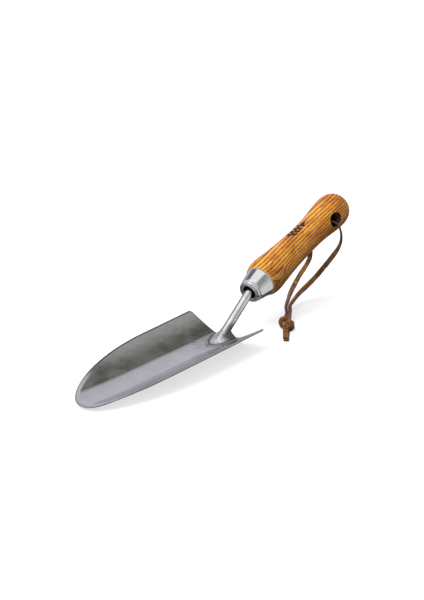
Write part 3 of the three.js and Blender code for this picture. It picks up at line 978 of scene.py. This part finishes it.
def make_ferrule():
    """A spun cup: its rolled nose round the rod, then the cone up to the wood, and back inside the wall."""
    profile = [
        (6.4, 0.75), (6.5, 0.35), (6.75, 0.1), (7.1, 0), (8.0, 0), (8.3, 0.12), (8.45, 0.4), (8.6, 0.55),
        (8.85, 0.5), (9.2, 0.3), (9.6, 0.3), (10.0, 0.55), (10.35, 1.0), (10.6, 1.6), (10.66, 2.1),
        (10.5, 2.5), (10.3, 2.75), (10.42, 2.95), (10.8, 3.15), (11.08, 3.45), (11.25, 3.9), (11.7, 5.9),
        (12.35, 8.7), (13.0, 11.6), (13.6, 14.2), (13.95, 15.8), (14.18, 16.9), (14.3, 17.4),
        (14.28, 17.8), (14.1, 18.0), (13.3, 18.0), (13.1, 17.9), (12.9, 17.3), (9.95, 3.9), (9.6, 2.6),
        (9.2, 1.9), (6.9, 1.7), (6.5, 1.5), (6.4, 1.2), (6.4, 0.75),
    ]
    points, faces = lathe(profile, 128)
    make_piece("ferrule_cup", points, faces, polished_steel, "tool", ["ferrule"],
               place=HANDLE_PLACE)


make_ferrule()

# ---- handle

WOOD_PROFILE = np.array([
    (0, 14.1), (0.5, 15.2), (2, 16.0), (5, 16.9), (9, 17.3), (14, 17.1), (20, 16.6), (28, 15.9), (37, 15.2),
    (47, 14.7), (58, 14.3), (68, 14.1), (78, 14.1), (88, 14.3), (97, 14.8), (105, 15.6), (112, 16.4),
    (119, 17.0), (125, 17.2), (130, 16.9), (134, 16.0), (137.3, 14.4), (139.9, 11.8), (141.7, 8.5),
    (142.7, 4.7), (143, 0),
])
WOOD_START = FERRULE_LENGTH + 0.3


def wood_profile():
    """The turned outline as a smooth curve through its stations: (radius, station)."""
    curve = catmull_rom(np.column_stack([WOOD_PROFILE, np.zeros(len(WOOD_PROFILE))]), 10)
    return np.column_stack([np.maximum(curve[:, 1], 0), WOOD_START + np.clip(curve[:, 0], 0, WOOD_LENGTH)])


WOOD_OUTLINE = wood_profile()


def hole_profile():
    """What the hanging hole takes away, as a turned solid: a straight bore with countersunk mouths."""
    profile = [(0, -30), (HOLE_MOUTH + 12.6, -30)]
    for share in np.arange(9) / 8:
        eased = (HOLE_MOUTH - HOLE_RADIUS) * smoothstep(0.15, 1, share)
        profile.append((HOLE_MOUTH + 0.9 - 0.9 * share - eased, -17.2 + 4.6 * share))
    return profile + [(r, -s) for r, s in reversed(profile)]


def make_handle():
    # The tang's bore has room for the resin round the tang.
    bore = ROD_RADIUS + 0.8 + 0.6
    tenon = [(9.0, 3.9), (9.6, 4.9), (12.55, 17.6), (12.75, WOOD_START)]
    inside = [(0, 93.3), (bore, 92.3), (bore, 3.9)] + tenon
    outside = WOOD_OUTLINE.copy()
    outside[0] = (14.0, WOOD_START)
    points, faces = lathe(np.vstack([inside, outside]), 144)
    piece = make_piece("ash_handle", points, faces, ash, "tool", ["handle"], place=HANDLE_PLACE)
    weld(piece)
    points, faces = lathe(hole_profile(), 72)
    mesh = bpy.data.meshes.new("drill")
    mesh.from_pydata((points * MM).tolist(), [], faces)
    drill = bpy.data.objects.new("drill", mesh)
    bpy.context.scene.collection.objects.link(drill)
    weld(drill)
    # Along the tilted hole: its near mouth (-Y) is a little higher than its far one.
    hole = Matrix.Translation((HOLE_STATION * MM, 0, 0)) @ Matrix.Rotation(-HOLE_TILT, 4, "X")
    drill.matrix_world = HANDLE_PLACE @ (hole @ Matrix.Rotation(-math.pi / 2, 4, "Z"))
    cut = piece.modifiers.new("hole", "BOOLEAN")
    cut.operation = "DIFFERENCE"
    cut.solver = "EXACT"
    cut.object = drill
    apply_modifiers(piece)
    bpy.data.objects.remove(drill)
    finish_mesh(piece.data, 38)
    mark_dark_hollows(piece)


def mark_dark_hollows(piece):
    """The hole and the wood inside the ferrule are dark: bare unvarnished wood, with painted shade in these
    hollows.
    """
    to_handle = HANDLE_PLACE.inverted()
    bare_wood_and_shade = []
    for vertex in piece.data.vertices:
        x, y, z = to_handle @ vertex.co / MM
        off_axis = math.hypot(y, z)
        outside = np.interp(x, WOOD_OUTLINE[:, 1], WOOD_OUTLINE[:, 0])
        in_hole = abs(x - HOLE_STATION) < 12 and off_axis < outside - 0.25
        bare_wood_and_shade.append(1.0 if in_hole or x < 10 else 0.0)
    set_attribute(piece, "bare_wood_and_shade", bare_wood_and_shade)


MARK_TURN = math.radians(-4)
MARK_START = 71.0
MARK_LENGTH = 29.0


def burnt_patch(stations, centre, half_widths, lean):
    """A thin burnt shape on the wood: half widths about a centre line that may lean across the handle."""
    points = []
    across = np.linspace(-1, 1, 5)
    for depth in (0.06, -0.25):
        for s, middle, half in zip(stations, centre, half_widths):
            radius = np.interp(s, WOOD_OUTLINE[:, 1], WOOD_OUTLINE[:, 0])
            for share in across:
                offset = middle + lean[1] * share * half
                turn = MARK_TURN + offset / radius
                r = radius + depth
                points.append((s + lean[0] * share * half, -r * math.sin(turn), r * math.cos(turn)))
    rows, columns = len(stations), len(across)
    size = rows * columns
    faces = grid_faces(rows, columns)
    faces += flipped(faces, size)
    rim = list(range(columns)) + [r * columns + columns - 1 for r in range(1, rows)]
    rim += [(rows - 1) * columns + c for c in range(columns - 2, -1, -1)]
    rim += [r * columns for r in range(rows - 2, 0, -1)]
    for a, b in zip(rim, rim[1:] + rim[:1]):
        faces.append((b, a, size + a, size + b))
    return np.array(points), faces


def make_mark():
    """A plain leaf sprig burnt into the wood: a stem, pairs of leaves and one at the end."""
    shapes = [burnt_patch(np.linspace(MARK_START, MARK_START + MARK_LENGTH - 5, 14), np.zeros(14),
                          np.linspace(0.75, 0.5, 14), (0, 1))]
    share = np.linspace(0, 1, 9)
    leaf = np.sin(math.pi * share ** 0.8) ** 0.8
    for k in range(4):
        base = MARK_START + 4 + 5.6 * k
        for side in (-1, 1):
            reach = 6.6 - 0.5 * k
            stations = base + 0.9 * side + share * reach * 0.75
            centre = side * (0.3 + share * reach * 0.72)
            shapes.append(burnt_patch(stations, centre, 2.0 * leaf + 0.05, (-0.6 * side, 0.75)))
    tip = MARK_START + MARK_LENGTH - 6
    shapes.append(burnt_patch(tip + share * 7.5, np.zeros(9), 2.1 * leaf + 0.05, (0, 1)))
    points, faces = joined(shapes)
    make_piece("burnt_sprig", points, faces, burnt, "tool", place=HANDLE_PLACE)


make_handle()
make_mark()

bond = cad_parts["tang_bond"]
bond.data.materials.clear()
bond.data.materials.append(resin)

# ---- stage


def make_floor():
    mesh = bpy.data.meshes.new("floor")
    size, low = 30.0, -0.0002
    corners = [(-size, -size, low), (size, -size, low), (size, size, low), (-size, size, low)]
    mesh.from_pydata(corners, [], [(0, 1, 2, 3)])
    mesh.materials.append(material("pale_floor", build_floor))
    floor = bpy.data.objects.new("floor", mesh)
    bpy.context.scene.collection.objects.link(floor)
    floor.visible_glossy = False
    floor.visible_diffuse = False


KEY_FROM = (-0.5, 0.25, 0.83)
FILL_FROM = (-0.6, -0.7, 0.5)


def make_sun(name, direction, spread, strength, mirrored):
    """An even, soft studio light: either the light itself or only its mirror image in the metal."""
    data = bpy.data.lights.new(name, "SUN")
    data.angle = math.radians(spread)
    data.energy = strength
    lamp = bpy.data.objects.new(name, data)
    lamp.rotation_euler = (-Vector(direction)).to_track_quat("-Z", "Y").to_euler()
    lamp.visible_glossy = mirrored
    lamp.visible_diffuse = not mirrored
    bpy.context.scene.collection.objects.link(lamp)


# Sky tones by azimuth in degrees, which is 0 beyond the butt and 90 on the far side: a dark stand
# behind the trowel, darker strips at both sides, a pale overhead.
SKY = [
    (-180, (0.6, 0.6, 0.62)), (-104, (0.7, 0.7, 0.72)), (-97, (0.32, 0.32, 0.29)),
    (-84, (0.32, 0.32, 0.29)), (-76, (0.6, 0.6, 0.57)), (-50, (0.72, 0.72, 0.7)), (-34, (0.62, 0.62, 0.6)),
    (-8, (0.66, 0.66, 0.62)), (-1, (0.5, 0.5, 0.46)), (3, (0.3, 0.3, 0.26)), (5, (0.11, 0.11, 0.07)),
    (8, (0.1, 0.1, 0.06)), (12, (0.45, 0.45, 0.45)), (20, (0.68, 0.68, 0.7)), (56, (0.72, 0.72, 0.75)),
    (66, (0.5, 0.5, 0.51)), (73, (0.16, 0.16, 0.16)), (85, (0.16, 0.16, 0.16)), (92, (0.78, 0.78, 0.8)),
    (180, (0.6, 0.6, 0.62)),
]


def make_world():
    """Soft studio surroundings, which the metal shows: pale sky with dark stands, a grey floor far off."""
    world = bpy.data.worlds.new("studio")
    bpy.context.scene.world = world
    world.use_nodes = True
    graph = Graph(world.node_tree)
    x, y, height = graph.axes(graph.add("ShaderNodeTexCoord", out=0))
    azimuth = graph.math("ARCTAN2", y, x)
    turn = graph.ramp(azimuth, -math.pi, math.pi, smooth=False)
    sides = graph.add("ShaderNodeValToRGB", {"Fac": turn})
    stops = sides.node.color_ramp.elements
    for angle, _ in SKY[1:-1]:
        stops.new((angle + 180) / 360)
    for stop, (angle, tone) in zip(stops, SKY):
        stop.color = (*tone, 1)
    sky = graph.mix(graph.ramp(height, 0.8, 0.93), sides, (0.98, 0.98, 1, 1))
    low = graph.mix(graph.ramp(height, -0.36, -0.46), (0.32, 0.32, 0.31, 1), (0.1, 0.1, 0.09, 1))
    # A pale card stands below the near side and lights the rod and the ferrule from there.
    card = graph.times(graph.ramp(azimuth, -2.1, -1.9), graph.ramp(azimuth, -0.45, -0.6),
                       graph.ramp(height, -0.8, -0.7))
    low = graph.mix(card, low, (0.7, 0.7, 0.72, 1))
    ground = graph.mix(graph.ramp(height, -0.86, -0.98), low, (0.4, 0.4, 0.39, 1))
    # Wood and leather get little light from below.
    rays = graph.add("ShaderNodeLightPath", out=0)
    ground = graph.mix(rays.node.outputs["Is Diffuse Ray"], ground, (0.05, 0.05, 0.05, 1))
    shade = graph.mix(graph.ramp(height, 0.03, -0.03), sky, ground)
    shade = graph.mix(rays, shade, (1, 1, 1, 1))
    surface = graph.add("ShaderNodeBackground", {"Color": shade, "Strength": 1.0})
    graph.add("ShaderNodeOutputWorld", {"Surface": surface})


make_floor()
make_world()
make_sun("key", KEY_FROM, 38, 2.1, mirrored=False)
make_sun("sheen", KEY_FROM, 38, 0.22, mirrored=True)
make_sun("fill", FILL_FROM, 50, 0.42, mirrored=False)
bpy.context.scene.view_settings.view_transform = "Standard"
